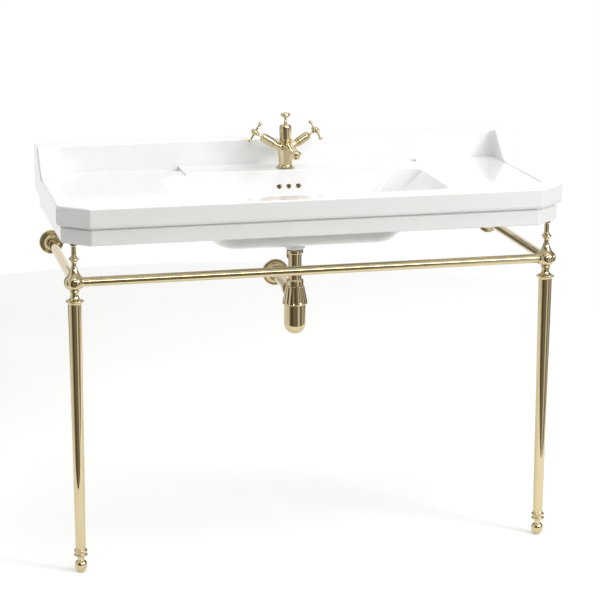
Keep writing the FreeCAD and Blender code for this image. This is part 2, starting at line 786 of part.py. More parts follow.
def make_tap_body():
    foot, waist, shoulder_r = tap_foot / 2, tap_waist / 2, tap_shoulder / 2
    top = tap_body_height
    profile = [(0, 0), (foot, 0), (foot, 2.5), ((foot - 3.6, 4.4), (waist, 9.0)), ((waist + 0.4, 25), (shoulder_r, 43)),
               ((shoulder_r - 0.8, 50), (shoulder_r - 4, 56)), (shoulder_r - 6, 61), (shoulder_r - 6, 63.5),
               (dome / 2 + 0.4, 65), (dome / 2 + 0.4, top), (0, top)]
    shapes = [placed(turned(profile), (0, tap_back, tap_z))]
    root, tip, end = arm_root / 2, arm_tip / 2, valve_start
    arm = turned([(0, 2), (root, 2), (tip, end - 6), (tip + 2.4, end - 4.5), (tip + 2.4, end - 2), (tip + 0.6, end - 0.8),
                  (tip + 0.6, end), (0, end)])
    for side in (-1, 1):
        shapes.append(placed(arm, along_arm(side, 0), arm_direction(side)))
    body = fused(shapes + make_spout())
    gap = 2 * slide_gap
    cuts = [cylinder(lift_rod + gap, top + 2, (0, tap_back, tap_z - 1)),
            cylinder(stud + gap, stud_depth, (0, tap_back + stud_offset, tap_z)),
            cylinder(nozzle - 5, 4, (0, tap_back - spout_reach, spout_z - 5.5))]
    for side in (-1, 1):
        cuts.append(cylinder(tail_pipe + gap, stud_depth, (side * tail_offset, tap_back - 3, tap_z)))
    return body.cut(cuts)


def make_tap_seal():
    return tube(tap_foot - 1.5, tap_hole - 3, tap_seal_thick, (0, tap_back, ledge_z))


def make_spout_nozzle():
    r, h = nozzle / 2, nozzle_drop
    profile = [(r - 2.5, 0), (r - 0.8, 0), (r, 1), (r, h - 2), (r - 0.8, h - 1.2), (r - 0.8, h), (r - 2.5, h)]
    return placed(turned(profile), (0, tap_back - spout_reach, spout_z - 5.5 - h))


def make_tap_dome():
    """Bonnet that guides the lift rod, with a small turned neck on top."""
    r, h, bore = dome / 2, dome_height, lift_rod / 2 + slide_gap
    b = dome_neck_ball / 2
    profile = [(bore, 0), (r, 0), (r, h - 9), ((r - 1.8, h - 3.2), (r - 6.5, h - 0.8)), (b - 0.3, h + 0.6),
               ((b, h + b), (bore + 0.3, dome_top_z - dome_z)), (bore, dome_top_z - dome_z)]
    return placed(turned(profile), (0, tap_back, dome_z))


def make_valve(side):
    r, h, bore = valve_diameter / 2, valve_length, spindle / 2 + slide_gap
    profile = [(bore, 0), (r - 1.2, 0), (r, 1.2), (r, h - 5), (r - 1, h - 4), (r - 1, h - 2.5), (r - 0.2, h - 2),
               (r - 2.5, h), (bore, h)]
    return placed(turned(profile), along_arm(side, valve_start), arm_direction(side))


def make_spindle(side):
    start = valve_start + 0.5
    return cylinder(spindle, hub_distance - 3 - start, along_arm(side, start), arm_direction(side))


def make_cross_handle(side):
    """Turned hub with four tapered arms that end in balls."""
    r, half = hub_diameter / 2, hub_length / 2
    hub = turned([(0, -half - 3), (r - 3, -half - 3), (r - 2.4, -half), (r, -half + 2), (r, half - 1.5), (r - 1.2, half),
                  (0, half)])
    reach = cross_span / 2 - cross_ball / 2
    arm = turned([(0, 0), (cross_arm / 2, 0), (cross_arm / 2 - 0.6, reach), (0, reach)])
    ball = Part.makeSphere(cross_ball / 2)
    shapes = [hub]
    for way in ((1, 0, 0), (-1, 0, 0), (0, 1, 0), (0, -1, 0)):
        shapes.append(placed(arm, (0, 0, 0), way))
        shapes.append(placed(ball, [reach * a for a in way], way))
    bore = cylinder(spindle + 2 * slide_gap, half + 3, (0, 0, -half - 3))
    return placed(fused(shapes).cut(bore), along_arm(side, hub_distance), arm_direction(side))


def make_index_cap(side):
    r = index_cap / 2
    profile = [(0, 0), (r, 0), (r, 1.0), ((r * 0.6, 2.2), (1, 2.6)), (0, 2.6)]
    return placed(turned(profile), along_arm(side, hub_distance + hub_length / 2), arm_direction(side))


def make_tap_stud():
    return cylinder(stud, stud_length, (0, tap_back + stud_offset, tap_z + stud_depth - stud_length - seat_gap))


def make_tap_washer():
    top = deck_height - deck_wall
    plate = cylinder(44, 3, (0, tap_back, top - 3))
    mouth = block(-tail_offset - 6, tail_offset + 6, tap_back - 30, tap_back + 4, top - 4, top + 1)
    hole = cylinder(stud + 2 * slide_gap, 5, (0, tap_back + stud_offset, top - 4))
    return plate.cut([mouth, hole])


def make_tap_nut():
    top = deck_height - deck_wall - 3
    nut = Part.Face(Part.makePolygon([vec(7.5 * math.cos(i * math.pi / 3), 7.5 * math.sin(i * math.pi / 3), 0)
                                      for i in range(7)])).extrude(vec(0, 0, -8))
    nut.translate(vec(0, tap_back + stud_offset, top))
    return nut.cut(cylinder(stud + 2 * slide_gap, 10, (0, tap_back + stud_offset, top - 9)))


def make_inlet_tail(side):
    """Inlet pipe that leaves the tap body, swings out and ends in a straight connection."""
    x0, x1, y = side * tail_offset, side * tail_spread, tap_back - 3
    top = tap_z + stud_depth - seat_gap
    low = top - tail_drop + tail_end_length
    points = [vec(x0, y, top), vec(x0, y, deck_height - 38), vec(x1, y, deck_height - 86), vec(x1, y, low)]
    path = rounded_wire(points, [0, 28, 28, 0], closed=False)
    ring = Part.Wire(Part.Circle(points[0], vec(0, 0, 1), tail_pipe / 2).toShape())
    pipe = path.makePipeShell([ring], True, False)
    end = cylinder(tail_end, tail_end_length, (x1, y, low - tail_end_length))
    return pipe.fuse(end)


# ---- stand ----


def make_front_rail():
    reach = leg_x - rail_centre_gap
    return tube(rail, rail - 2 * rail_wall, 2 * reach, (-reach, leg_y, rail_height), (1, 0, 0))


def make_side_rail(side):
    start = leg_y + rail_centre_gap
    length = back_y - wall_plate_thick - start
    return tube(rail, rail - 2 * rail_wall, length, (side * leg_x, start, rail_height), (0, 1, 0))


def make_wall_plate(side):
    hub = rail / 2 - rail_wall - rail_fit
    plate = turned([(0, 0), (wall_plate / 2, 0), (wall_plate / 2, wall_plate_thick), (hub, wall_plate_thick), (hub, 22), (0, 22)])
    plate = placed(plate, (side * leg_x, back_y, rail_height), (0, -1, 0))
    holes = []
    for step in (-1, 1):
        base = (side * leg_x, back_y + 1, rail_height + step * plate_screw_spacing / 2)
        holes.append(cylinder(plate_screw, wall_plate_thick + 2, base, (0, -1, 0)))
    return plate.cut(holes)


def make_wall_rosette(side):
    r, h, bore = rosette / 2, rosette_depth, rail / 2 + rail_fit
    inner = wall_plate / 2 + 0.5
    floor = wall_plate_thick + 0.5
    profile = [(inner, 0), (r, 0), (r, 3.6), (r - 1.4, 5.6), (r - 9.2, 6.2), (r - 10, 5.6), (r - 10.6, 7.2), (r - 10.6, 8.6),
               ((r - 13.6, 11.4), (bore + 3.3, h - 4)), (bore + 3.3, h - 1.2), (bore + 2.1, h), (bore, h), (bore, floor),
               (inner, floor)]
    return placed(turned(profile), (side * leg_x, back_y, rail_height), (0, -1, 0))


def socket_screw_places(side):
    out = (rail_centre_gap + rail_socket_end) / 2
    return [(side * (leg_x - out), leg_y), (side * leg_x, leg_y + out)]


def make_corner_fitting(side):
    """Ball fitting that joins a post, a leg and two rails, with domed caps on its outer sides."""
    r, up, down = fitting_ball / 2, fitting_up, -fitting_down
    neck = post / 2 + 1.0
    body = turned([(0, down), (9.6, down), (10.8, down + 1.5), (10.8, down + 3.5), (10.2, down + 5),
                   ((r * 0.86, -r * 0.51), (r, 0)), ((r * 0.94, r * 0.35), (r * 0.77, r * 0.68)),
                   ((r * 0.52, r * 1.1), (neck, up)), (0, up)])
    reach, s = rail_socket_end, rail / 2 + 1.2
    flare = turned([(0, 0), (s + 3.6, reach - 5.5), ((s + 1.1, reach - 3.2), (s, reach)), (0, reach)])
    c, tip = fitting_cap / 2, fitting_cap_reach
    cap = turned([(0, 0), (c, 0), (c, tip - 6.4), ((c - 3.6, tip - 2.2), (1, tip)), (0, tip)])
    centre = (side * leg_x, leg_y, rail_height)
    inward, backward = (-side, 0, 0), (0, 1, 0)
    fitting = fused([placed(body, centre), placed(flare, centre, inward), placed(flare, centre, backward),
                     placed(cap, centre, (side, 0, 0)), placed(cap, centre, (0, -1, 0))])
    x, y, z = centre
    gap = rail_centre_gap - 0.3
    bore = rail + 2 * rail_fit
    cuts = [cylinder(bore, 40, (x - side * gap, y, z), inward), cylinder(bore, 40, (x, y + gap, z), backward),
            cylinder(8 + 2 * rail_fit, 12, (x, y, z + up - 12)),
            cylinder(10 + 2 * rail_fit, 14, (x, y, z + down))]
    for place in socket_screw_places(side):
        cuts.append(cylinder(4 + 2 * slide_gap, 20, (place[0], place[1], z), (0, 0, -1)))
    return fitting.cut(cuts)


def make_grub_screws():
    screws = []
    for side in (-1, 1):
        for x, y in socket_screw_places(side):
            screws.append(cylinder(4, 2.6, (x, y, rail_height - rail / 2 - 0.05), (0, 0, -1)))
    return Part.makeCompound(screws)


def make_top_post(side):
    """Short post under the basin with a turned bead between two small collars."""
    r, bead, flange = post / 2, post_bead / 2, post_flange / 2
    top = under_z - pad_thick - fitting_top_z
    m = post_bead_rise
    profile = [(0, -11), (4, -11), (4, 0), (r, 0), (r, m - 8.6), (r + 1.8, m - 7.6), (r + 1.8, m - 6.2), (r + 1.2, m - 5.2),
               (bead - 0.8, m - 2.2), ((bead, m), (bead - 0.8, m + 2.2)), (r + 1.2, m + 5.2), (r + 1.8, m + 6.2),
               (r + 1.8, m + 7.6), (r, m + 8.6), (r, top - post_flange_height), (flange, top - post_flange_height + 2),
               (flange, top), (0, top)]
    return placed(turned(profile), (side * leg_x, leg_y, fitting_top_z))


def make_basin_pad(side):
    return cylinder(post_flange + 2, pad_thick, (side * leg_x, leg_y, under_z - pad_thick))


def make_leg_ferrule(side):
    """Turned collar between the ball fitting and the leg tube."""
    r, h = ferrule / 2, ferrule_height
    tube_r = leg_top / 2
    spigot = tube_r - leg_wall - seat_gap
    profile = [(0, -12), (spigot, -12), (spigot, 0), (tube_r + 0.8, 0), ((tube_r + 1.6, 2.8), (r - 1.0, 5.4)),
               ((r, 7.4), (r - 1.2, 9.4)), ((14.6, 11.0), (10.8, 14.4)), ((9.0, 19.6), (9.4, h - 1.4)), (9.6, h), (5, h),
               (5, h + 13), (0, h + 13)]
    return placed(turned(profile), (side * leg_x, leg_y, ferrule_z))


def make_leg_tube(side):
    top, bottom, length = leg_top / 2, leg_bottom / 2, ferrule_z - leg_bottom_z
    profile = [(bottom - leg_wall, 0), (bottom, 0), (top, length), (top - leg_wall, length)]
    return placed(turned(profile), (side * leg_x, leg_y, leg_bottom_z))


def make_foot_collar(side):
    """Double ring at the leg's end, bored for the screw of the foot."""
    r, low, bore = ring / 2, leg_bottom / 2, 5 + slide_gap
    spigot = low - leg_wall - seat_gap
    h = ring_height
    profile = [(bore, 0), (8.5, 0), (9.5, 1.5), (r, 3), ((r + 0.5, 4.8), (r, 6.6)), (low + 1.2, 8.2), (low + 1.2, 11.5),
               (r - 0.6, 13.2), ((r - 0.1, 15), (r - 0.6, 16.8)), (low + 0.6, 19.5), (low + 0.6, h), (spigot, h),
               (spigot, h + 12), (bore, h + 12)]
    return placed(turned(profile), (side * leg_x, leg_y, foot_height))


def make_foot(side):
    r, face = foot_ball / 2, foot_face / 2
    profile = [(0, 0), (face, 0), ((r - 2.6, 8.2), (r, 18)), ((r - 2.2, 25), (8.2, 30)), (8.2, foot_height), (5, foot_height),
               (5, foot_height + 24), (0, foot_height + 24)]
    return placed(turned(profile), (side * leg_x, leg_y, 0))


single_pieces = {
    "basin": make_basin,
    "overflow_rings": make_overflow_rings,
    "waste_body": make_waste_body,
    "waste_washer": make_waste_washer,
    "waste_backnut": make_waste_backnut,
    "waste_tail": make_waste_tail,
    "pivot_nut": make_pivot_nut,
    "pivot_rod": make_pivot_rod,
    "plug": make_plug,
    "lift_rod": make_lift_rod,
    "lift_knob": make_lift_knob,
    "link_strap": make_link_strap,
    "rod_clamp": make_rod_clamp,
    "trap_inlet_nut": make_trap_inlet_nut,
    "trap_head": make_trap_head,
    "trap_dip_tube": make_trap_dip_tube,
    "trap_bottle": make_trap_bottle,
    "trap_outlet_nut": make_trap_outlet_nut,
    "trap_outlet_pipe": make_trap_outlet_pipe,
    "waste_rosette": make_waste_rosette,
    "tap_body": make_tap_body,
    "tap_seal": make_tap_seal,
    "tap_dome": make_tap_dome,
    "tap_stud": make_tap_stud,
    "tap_washer": make_tap_washer,
    "tap_nut": make_tap_nut,
    "spout_nozzle": make_spout_nozzle,
    "front_rail": make_front_rail,
    "grub_screws": make_grub_screws,
}
tap_pieces = {
    "valve": make_valve,
    "spindle": make_spindle,
    "cross_handle": make_cross_handle,
    "index_cap": make_index_cap,
    "inlet_tail": make_inlet_tail,
}
stand_pieces = {
    "side_rail": make_side_rail,
    "wall_plate": make_wall_plate,
    "wall_rosette": make_wall_rosette,
    "corner_fitting": make_corner_fitting,
    "top_post": make_top_post,
    "basin_pad": make_basin_pad,
    "leg_ferrule": make_leg_ferrule,
    "leg_tube": make_leg_tube,
    "foot_collar": make_foot_collar,
    "foot": make_foot,
}

os.makedirs("parts", exist_ok=True)
for name, make in single_pieces.items():
    export(name, make())
for name, make in tap_pieces.items():
    export("hot_" + name, make(-1))
    export("cold_" + name, make(1))
for name, make in stand_pieces.items():
    export("left_" + name, make(-1))
    export("right_" + name, make(1))
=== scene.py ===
import bmesh
import bpy
import json
import math
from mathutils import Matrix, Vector


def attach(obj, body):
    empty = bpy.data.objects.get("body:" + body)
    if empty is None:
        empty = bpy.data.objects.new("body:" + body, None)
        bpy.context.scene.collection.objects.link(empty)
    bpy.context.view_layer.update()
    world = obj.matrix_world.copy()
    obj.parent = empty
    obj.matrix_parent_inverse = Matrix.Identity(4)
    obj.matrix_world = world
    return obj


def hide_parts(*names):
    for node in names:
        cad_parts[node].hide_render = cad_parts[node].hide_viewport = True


# Console basin on a polished brass stand. Profiles and places are in millimetres, as in the
# CAD source; everything put into the scene is in metres.

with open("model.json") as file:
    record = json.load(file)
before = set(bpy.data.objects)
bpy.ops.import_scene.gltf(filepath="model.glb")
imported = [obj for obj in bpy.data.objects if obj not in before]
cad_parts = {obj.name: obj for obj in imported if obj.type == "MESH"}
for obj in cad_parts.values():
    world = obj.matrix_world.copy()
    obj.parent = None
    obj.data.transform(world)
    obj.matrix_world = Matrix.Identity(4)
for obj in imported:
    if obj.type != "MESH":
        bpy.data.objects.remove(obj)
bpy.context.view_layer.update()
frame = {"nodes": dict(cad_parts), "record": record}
nodes = frame["nodes"]

MM = 0.001
X, Y, Z = Vector((1, 0, 0)), Vector((0, 1, 0)), Vector((0, 0, 1))

# ---- places, from the CAD source ----
LEG_X, LEG_Y, RAIL_Z = 563.5, -190.0, 697.5
POST_Z, FERRULE_Z, LEG_TUBE_Z, COLLAR_Z = 734.5, 647, 60, 38
SIDE_RAIL_START, SIDE_RAIL_LENGTH, FRONT_RAIL_LENGTH = 14, 416, 1099
WALL_Y = 244.0
WASTE_Y, BACKNUT_Z = 25.0, 689.5
HEAD_TOP, HEAD_FOOT, OUTLET_Z = 609.5, 563.5, 591.5
OUTLET_NUT_START, OUTLET_PIPE_START = 36.35, 44
TAP_Y, TAP_Z, ARM_Z, SPOUT_Z, DOME_Z = 130.0, 882.0, 923.0, 935.0, 951.0
NOZZLE_Z, ROD_Z, KNOB_Z = 920.5, 720.7, 1001.5
ARM_ANGLE = math.radians(32.0)
HUB_AT, VALVE_AT = 89.0, 38.5
INDEX_CAP_AT, SPINDLE_AT = HUB_AT + 6, VALVE_AT + 0.5

# ---- fineness of the turned pieces ----
ARC_STEP = math.radians(7.0)
# Faces round a piece.
WIDE, SLIM, HUB, STEM, BAR, FLUTED = 96, 72, 64, 48, 40, 288
# How far a sharp corner is rounded.
CUT_EDGE, SMALL_EDGE, NUT_EDGE, TURNED_EDGE, CAST_EDGE, CAP_EDGE = 0.3, 0.4, 0.5, 0.6, 0.8, 0.9
CORNER_FROM = math.radians(24)
CORNER_SHARE = 0.45
ON_AXIS = 1e-6

# ---- mesh helpers ----


def arc(a, m, b):
    """Points from a (left out) through m to b on one circle; a straight line if they line up."""
    (ax, ay), (mx, my), (bx, by) = a, m, b
    d = 2 * (ax * (my - by) + mx * (by - ay) + bx * (ay - my))
    if abs(d) < 1e-9:
        return [m, b]
    a2, m2, b2 = ax * ax + ay * ay, mx * mx + my * my, bx * bx + by * by
    ux = (a2 * (my - by) + m2 * (by - ay) + b2 * (ay - my)) / d
    uy = (a2 * (bx - mx) + m2 * (ax - bx) + b2 * (mx - ax)) / d
    r = math.hypot(ax - ux, ay - uy)
    start, mid, end = [math.atan2(y - uy, x - ux) for x, y in (a, m, b)]
    sweep = (end - start) % math.tau
    if (mid - start) % math.tau > sweep:
        sweep -= math.tau
    count = max(2, math.ceil(abs(sweep) / ARC_STEP))
    angles = [start + sweep * i / count for i in range(1, count + 1)]
    return [(ux + r * math.cos(angle), uy + r * math.sin(angle)) for angle in angles]


def outline_points(outline):
    """A profile as points: an entry is a point, or a pair (middle, end) reached by an arc."""
    points = [outline[0]]
    for entry in outline[1:]:
        if isinstance(entry[0], tuple):
            points += arc(points[-1], *entry)
        else:
            points.append(entry)
    return points


def softened(points, radius):
    """The same closed profile with its sharp corners rounded, as polishing leaves them."""
    out = []
    n = len(points)
    for i, p in enumerate(points):
        here = Vector(p)
        u, v = Vector(points[i - 1]) - here, Vector(points[(i + 1) % n]) - here
        if p[0] < ON_AXIS or u.length < ON_AXIS or v.length < ON_AXIS:
            out.append(p)
            continue
        if math.pi - u.angle(v) < CORNER_FROM:
            out.append(p)
            continue
        cut = min(radius, CORNER_SHARE * u.length, CORNER_SHARE * v.length)
        a, b = here + u.normalized() * cut, here + v.normalized() * cut
        bulge = ((a + b) / 2).lerp(here, CORNER_SHARE)
        out += [tuple(a)] + [tuple(q) for q in arc(tuple(a), tuple(bulge), tuple(b))]
    return out


def mesh_object(name, verts, faces):
    mesh = bpy.data.meshes.new(name)
    mesh.from_pydata([tuple(v) for v in verts], [], faces)
    mesh.validate()
    mesh.polygons.foreach_set("use_smooth", [True] * len(mesh.polygons))
    obj = bpy.data.objects.new(name, mesh)
    bpy.context.scene.collection.objects.link(obj)
    return obj


def lathe_data(outline, base, direction, segments, soft, wave=None):
    """Vertices and faces of a turned form. The profile's z runs along direction from base.
    wave(r, z, angle) may change the radius, for flutes."""
    points = softened(outline_points(outline), soft)
    direction = Vector(direction).normalized()
    side = X if abs(direction.z) >= 0.999 else direction.orthogonal().normalized()
    other = direction.cross(side)
    base = Vector(base)
    verts, rings = [], []
    for r, z in points:
        if r < ON_AXIS:
            rings.append([len(verts)])
            verts.append((base + direction * z) * MM)
            continue
        ring = []
        for k in range(segments):
            angle = math.tau * k / segments
            radius = wave(r, z, angle) if wave else r
            outward = side * math.cos(angle) + other * math.sin(angle)
            ring.append(len(verts))
            verts.append((base + direction * z + outward * radius) * MM)
        rings.append(ring)
    faces = []
    for i, here in enumerate(rings):
        nxt = rings[(i + 1) % len(rings)]
        if len(here) == 1 and len(nxt) == 1:
            continue
        for k in range(segments):
            k2 = (k + 1) % segments
            if len(here) == 1:
                faces.append((here[0], nxt[k2], nxt[k]))
            elif len(nxt) == 1:
                faces.append((here[k], here[k2], nxt[0]))
            else:
                faces.append((here[k], here[k2], nxt[k2], nxt[k]))
    return verts, faces


def loft_data(sections):
    """Vertices and faces of a skin through rings of equally many points, capped at both ends."""
    n = len(sections[0])
    verts = [p * MM for ring in sections for p in ring]
    faces = []
    for i in range(len(sections) - 1):
        for k in range(n):
            a, b = i * n + k, i * n + (k + 1) % n
            faces.append((a, b, b + n, a + n))
    faces.append(tuple(reversed(range(n))))
    faces.append(tuple(range(len(verts) - n, len(verts))))
    return verts, faces


def joined(name, *parts):
    """One object from several sets of vertices and faces, with its normals outward."""
    verts, faces = [], []
    for v, f in parts:
        start = len(verts)
        verts += v
        faces += [tuple(i + start for i in face) for face in f]
    obj = mesh_object(name, verts, faces)
    bm = bmesh.new()
    bm.from_mesh(obj.data)
    bmesh.ops.recalc_face_normals(bm, faces=bm.faces)
    bm.to_mesh(obj.data)
    bm.free()
    return obj


def even_normals(obj):
    """Large faces keep their own direction, and only the small rounded edges turn the light."""
    mod = obj.modifiers.new("even_normals", "WEIGHTED_NORMAL")
    mod.weight = 100
    mod.keep_sharp = True


def finished(obj, material, body, slot, *replaced):
    obj.data.materials.append(material)
    even_normals(obj)
    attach(obj, body)
    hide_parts(*replaced)


def turned_piece(node, outline, base, direction, segments, soft, body="sink"):
    """A brass piece made on the lathe, in the place of the CAD node of that name."""
    piece = joined(f"{node}_fine", lathe_data(outline, base, direction, segments, soft))
    finished(piece, brass, body, "polished_brass", node)


# ---- materials ----


def new_material(name):
    mat = bpy.data.materials.new(name)
    mat.use_nodes = True
    return mat, mat.node_tree, mat.node_tree.nodes["Principled BSDF"]


def noise(tree, scale, detail, roughness=0.5):
    coords = tree.nodes.new("ShaderNodeTexCoord")
    tex = tree.nodes.new("ShaderNodeTexNoise")
    tex.inputs["Scale"].default_value = scale
    tex.inputs["Detail"].default_value = detail
    tex.inputs["Roughness"].default_value = roughness
    tree.links.new(coords.outputs["Object"], tex.inputs["Vector"])
    return tex.outputs["Fac"]


def ramp(tree, value, stops):
    node = tree.nodes.new("ShaderNodeValToRGB")
    ends = node.color_ramp.elements
    ends[0].position, ends[0].color = stops[0][0], (*stops[0][1], 1)
    ends[1].position, ends[1].color = stops[-1][0], (*stops[-1][1], 1)
    for place, colour in stops[1:-1]:
        ends.new(place).color = (*colour, 1)
    tree.links.new(value, node.inputs["Fac"])
    return node.outputs["Color"]


def tone(tree, shader, value, dark, light, margin):
    """Colour from dark to light with the value, which stays flat for a margin at both ends."""
    colour = ramp(tree, value, [(margin, dark), (1 - margin, light)])
    tree.links.new(colour, shader.inputs["Base Color"])


def gloss(tree, shader, value, low, high):
    """Roughness from low to high with the value."""
    node = tree.nodes.new("ShaderNodeMapRange")
    node.inputs["To Min"].default_value = low
    node.inputs["To Max"].default_value = high
    tree.links.new(value, node.inputs["Value"])
    tree.links.new(node.outputs["Result"], shader.inputs["Roughness"])


def bump(tree, shader, height, strength, distance):
    node = tree.nodes.new("ShaderNodeBump")
    node.inputs["Strength"].default_value = strength
    node.inputs["Distance"].default_value = distance
    tree.links.new(height, node.inputs["Height"])
    tree.links.new(node.outputs["Normal"], shader.inputs["Normal"])


def brass_material(name, light, dark, rough_low, rough_high):
    """Polished metal: faint cloudy tone, hand-polish variation in gloss, a trace of waviness."""
    mat, tree, shader = new_material(name)
    shader.inputs["Metallic"].default_value = 1.0
    tone(tree, shader, noise(tree, scale=14.0, detail=4.0), dark, light, margin=0.30)
    handling = noise(tree, scale=60.0, detail=5.0, roughness=0.6)
    gloss(tree, shader, handling, rough_low, rough_high)
    bump(tree, shader, noise(tree, scale=220.0, detail=2.0), strength=0.05, distance=0.0004)
    return mat


def glaze_material(name, light, dark, rough_low, rough_high):
    """Thick white glaze: very slight tone drift, and the soft ripple that fired glaze keeps."""
    mat, tree, shader = new_material(name)
    shader.inputs["IOR"].default_value = 1.52
    shader.inputs["Coat Weight"].default_value = 0.6
    shader.inputs["Coat Roughness"].default_value = 0.02
    tone(tree, shader, noise(tree, scale=5.0, detail=3.0), dark, light, margin=0.35)
    gloss(tree, shader, noise(tree, scale=40.0, detail=4.0), rough_low, rough_high)
    bump(tree, shader, noise(tree, scale=28.0, detail=1.0), strength=0.06, distance=0.0012)
    return mat


def plain_material(name, light, dark, rough_low, rough_high, scale, metallic=0.0):
    """Unpolished metal or rubber, with a grain of the given scale in tone, gloss and relief."""
    mat, tree, shader = new_material(name)
    shader.inputs["Metallic"].default_value = metallic
    clouds = noise(tree, scale, detail=5.0, roughness=0.6)
    tone(tree, shader, clouds, dark, light, margin=0.3)
    gloss(tree, shader, noise(tree, scale * 2, detail=4.0), rough_low, rough_high)
    bump(tree, shader, noise(tree, scale * 6, detail=3.0), strength=0.15, distance=0.0003)
    return mat


glaze = glaze_material("white_glaze", (0.86, 0.862, 0.868), (0.84, 0.842, 0.848), 0.07, 0.13)
brass = brass_material("polished_brass", (0.65, 0.55, 0.345), (0.61, 0.515, 0.315), 0.03, 0.07)
machined = plain_material("plain_brass", (0.62, 0.47, 0.24), (0.52, 0.39, 0.19), 0.25, 0.40,
                          scale=90.0, metallic=1.0)
copper = plain_material("bare_copper", (0.68, 0.36, 0.24), (0.58, 0.28, 0.18), 0.22, 0.38,
                        scale=60.0, metallic=1.0)
rubber = plain_material("black_rubber", (0.035, 0.035, 0.036), (0.02, 0.02, 0.021), 0.55, 0.75,
                        scale=120.0)
by_slot = {"white_glaze": glaze, "polished_brass": brass, "plain_brass": machined,
           "bare_copper": copper, "black_rubber": rubber}


# ---- stand ----

FITTING_BALL = [
    (0, -24), (9.6, -24), (10.8, -22.5), (10.8, -20.5), (10.2, -19), ((18.3, -10.9), (21.3, 0)),
    ((20.0, 7.5), (16.4, 14.5)), ((11.1, 23.4), (6.5, 37)), (0, 37)]
FITTING_SOCKET = [(0, 0), (15.8, 15), ((13.3, 17.3), (12.2, 20.5)), (0, 20.5)]
FITTING_CAP = [(0, 0), (14.5, 0), (14.5, 16.4), ((10.9, 20.6), (0, 22.8))]
POST = [
    (0, -11), (4, -11), (4, 0), (5.5, 0), (5.5, 8.4), (7.3, 9.4), (7.3, 10.8), (6.7, 11.8),
    (10.9, 14.8), ((11.7, 17), (10.9, 19.2)), (6.7, 22.2), (7.3, 23.2), (7.3, 24.6), (5.5, 25.6),
    (5.5, 46.5), (7.5, 48.5), (7.5, 51.5), (0, 51.5)]
FERRULE = [
    (0, -12), (14.2, -12), (14.2, 0), (16.8, 0), ((17.6, 2.8), (20, 5.4)), ((21, 7.4), (19.8, 9.4)),
    ((14.6, 11.0), (10.8, 14.4)), ((9.0, 19.6), (9.4, 25.1)), (9.6, 26.5), (5, 26.5), (5, 39.5),
    (0, 39.5)]
LEG_TUBE = [(10.5, 0), (12, 0), (16, 587), (14.5, 587)]
COLLAR = [
    (5.05, 0), (8.5, 0), (9.5, 1.5), (15.75, 3), ((16.25, 4.8), (15.75, 6.6)), (13.2, 8.2),
    (13.2, 11.5), (15.15, 13.2), ((15.65, 15), (15.15, 16.8)), (12.6, 19.5), (12.6, 22),
    (10.2, 22), (10.2, 34), (5.05, 34)]
FOOT = [
    (0, 0), (5.5, 0), ((12.4, 8.2), (15, 18)), ((12.8, 25), (8.2, 30)), (8.2, 38), (5, 38), (5, 62),
    (0, 62)]
WALL_ROSETTE = [
    (23.5, 0), (30, 0), (30, 3.6), (28.6, 5.6), (20.8, 6.2), (20, 5.6), (19.4, 7.2), (19.4, 8.6),
    ((16.4, 11.4), (14.4, 15)), (14.4, 17.8), (13.2, 19), (11.1, 19), (11.1, 4.5), (23.5, 4.5)]
LEG_PIECES = [
    ("top_post", POST, POST_Z, TURNED_EDGE), ("leg_ferrule", FERRULE, FERRULE_Z, TURNED_EDGE),
    ("leg_tube", LEG_TUBE, LEG_TUBE_Z, CUT_EDGE), ("foot_collar", COLLAR, COLLAR_Z, TURNED_EDGE),
    ("foot", FOOT, 0, TURNED_EDGE)]


def rail_outline(length):
    return [(9.6, 0), (11, 0), (11, length), (9.6, length)]


def corner_fitting(name, x, side):
    """Ball with a socket for each rail and a cap at the far end of each."""
    centre = Vector((x, LEG_Y, RAIL_Z))
    parts = [lathe_data(FITTING_BALL, centre, Z, WIDE, CAST_EDGE)]
    parts += [lathe_data(FITTING_SOCKET, centre, d, SLIM, NUT_EDGE) for d in (-side * X, Y)]
    parts += [lathe_data(FITTING_CAP, centre, d, SLIM, CAP_EDGE) for d in (side * X, -Y)]
    return joined(name, *parts)


def build_stand():
    for side, label in ((-1, "left"), (1, "right")):
        x = side * LEG_X
        for node, outline, z, soft in LEG_PIECES:
            turned_piece(f"{label}_{node}", outline, (x, LEG_Y, z), Z, WIDE, soft)
        fitting = corner_fitting(f"{label}_corner_fitting_fine", x, side)
        finished(fitting, brass, "sink", "polished_brass", f"{label}_corner_fitting")
        turned_piece(f"{label}_side_rail", rail_outline(SIDE_RAIL_LENGTH),
                     (x, LEG_Y + SIDE_RAIL_START, RAIL_Z), Y, SLIM, CUT_EDGE)
        turned_piece(f"{label}_wall_rosette", WALL_ROSETTE, (x, WALL_Y, RAIL_Z), -Y, WIDE,
                     TURNED_EDGE)
    turned_piece("front_rail", rail_outline(FRONT_RAIL_LENGTH),
                 (-FRONT_RAIL_LENGTH / 2, LEG_Y, RAIL_Z), X, SLIM, CUT_EDGE)


# ---- waste and trap ----

FLUTES = 12
FLUTE_FOOT, FLUTE_TOP, FLUTE_FADE = 2.5, 45.5, 3.0
FLUTE_DEPTH, FLUTE_HALF_WIDTH = 1.3, 4.2
FLUTED_FROM_RADIUS = 20
CONE_FOOT_RADIUS, CONE_TOP_RADIUS, CONE_FOOT, CONE_HEIGHT, CONE_STEPS = 30.75, 22.5, 3.5, 42.5, 14
BOTTLE_RADIUS, BOTTLE_BORE, BOTTLE_END = 26.75, 25.15, -75.5

